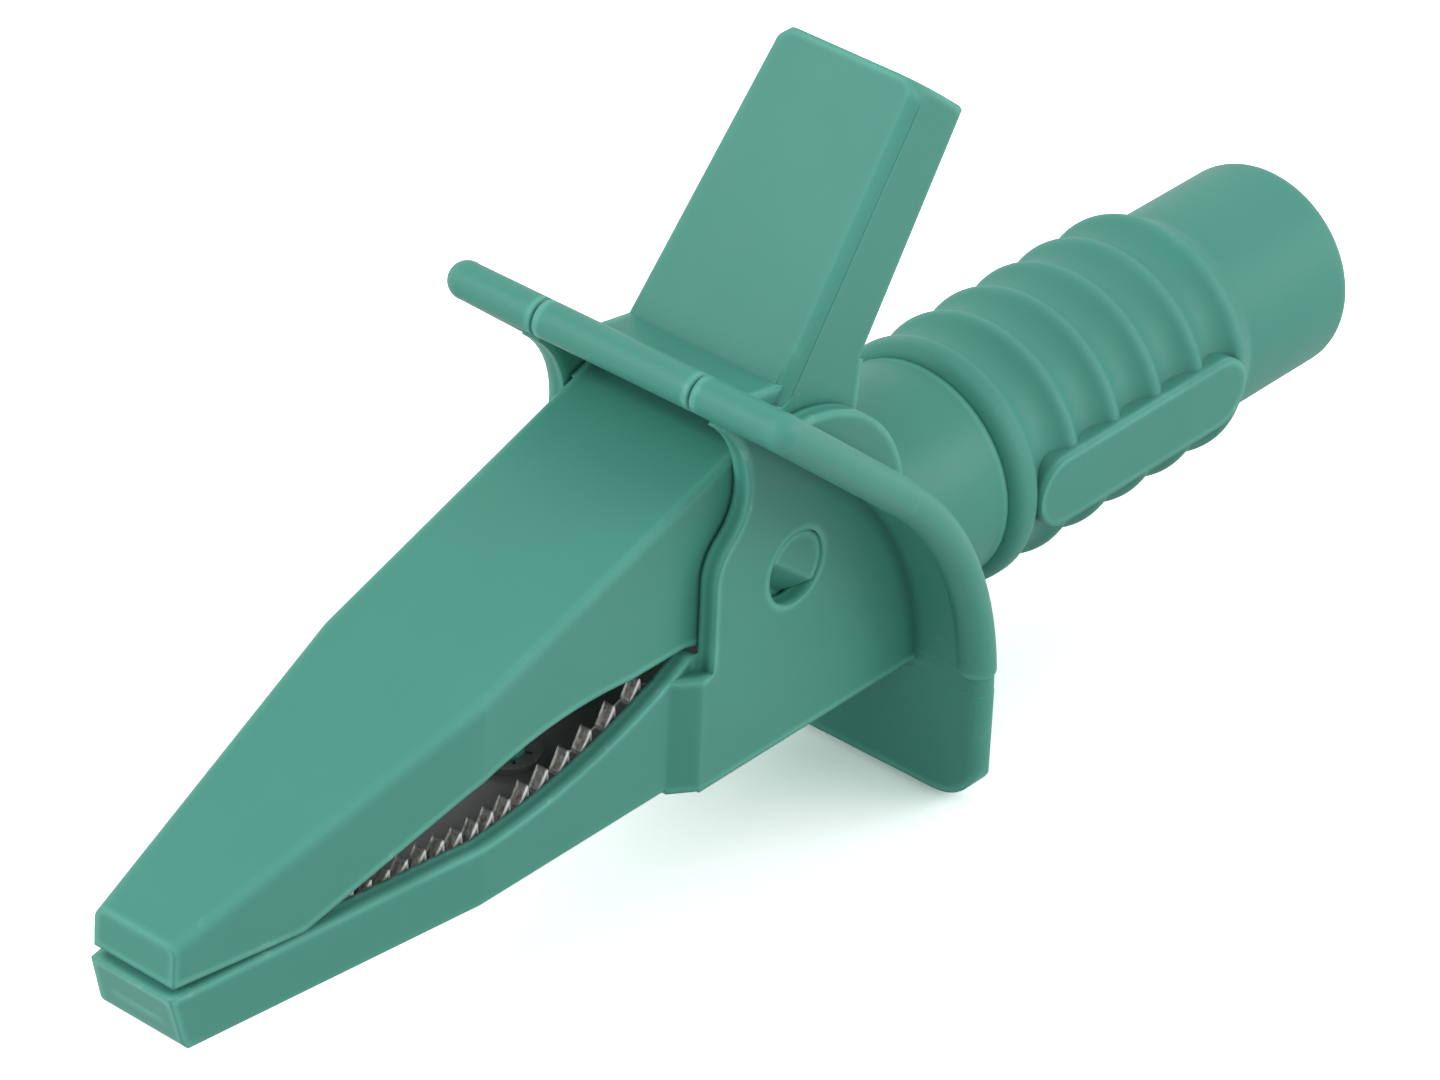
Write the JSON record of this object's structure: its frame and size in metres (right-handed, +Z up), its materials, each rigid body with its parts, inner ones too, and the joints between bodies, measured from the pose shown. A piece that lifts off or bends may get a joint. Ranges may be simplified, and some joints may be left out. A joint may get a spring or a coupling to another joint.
{
  "type": "crocodile clip",
  "caption": "Insulated crocodile clip with a curved finger guard, thumb lever, toothed metal jaws and a ribbed rear barrel holding a shrouded 4 mm socket.",
  "frame": {"origin": "centre of the plug contact's mouth, on the axis of the rear socket", "axes": "+X along the socket axis, the way a plug leaves; the jaws point toward -X; +Z up, the side of the thumb lever; +Y to the right seen from the socket end looking at the jaws"},
  "size_m": [0.0863, 0.022, 0.0392],
  "materials": {
    "green_plastic": "satin moulded",
    "insulator_plastic": "satin moulded",
    "plated_steel": "bright nickel plate",
    "spring_steel": "drawn wire",
    "contact_brass": "turned"
  },
  "bodies": {
    "clip_body": {"body_shell": "green_plastic", "lower_jaw": "plated_steel", "sleeve": "green_plastic", "insulator": "insulator_plastic", "contact": "contact_brass", "contact_clip": "spring_steel", "lower_lock_a": "spring_steel", "lower_lock_b": "spring_steel", "torsion_spring": "spring_steel"},
    "lever": {"lever_shell": "green_plastic", "upper_jaw": "plated_steel", "upper_lock_a": "spring_steel", "upper_lock_b": "spring_steel"}
  },
  "joints": [
    {"name": "lever_hinge", "type": "hinge", "parent": "clip_body", "child": "lever", "pos_m": [-0.044, 0, 0.0049], "axis": [0, 1, 0], "range_deg": [0, 30], "stiffness_Nm_per_rad": 0.15, "springref_deg": -57.3, "deforming": ["torsion_spring"]}
  ]
}
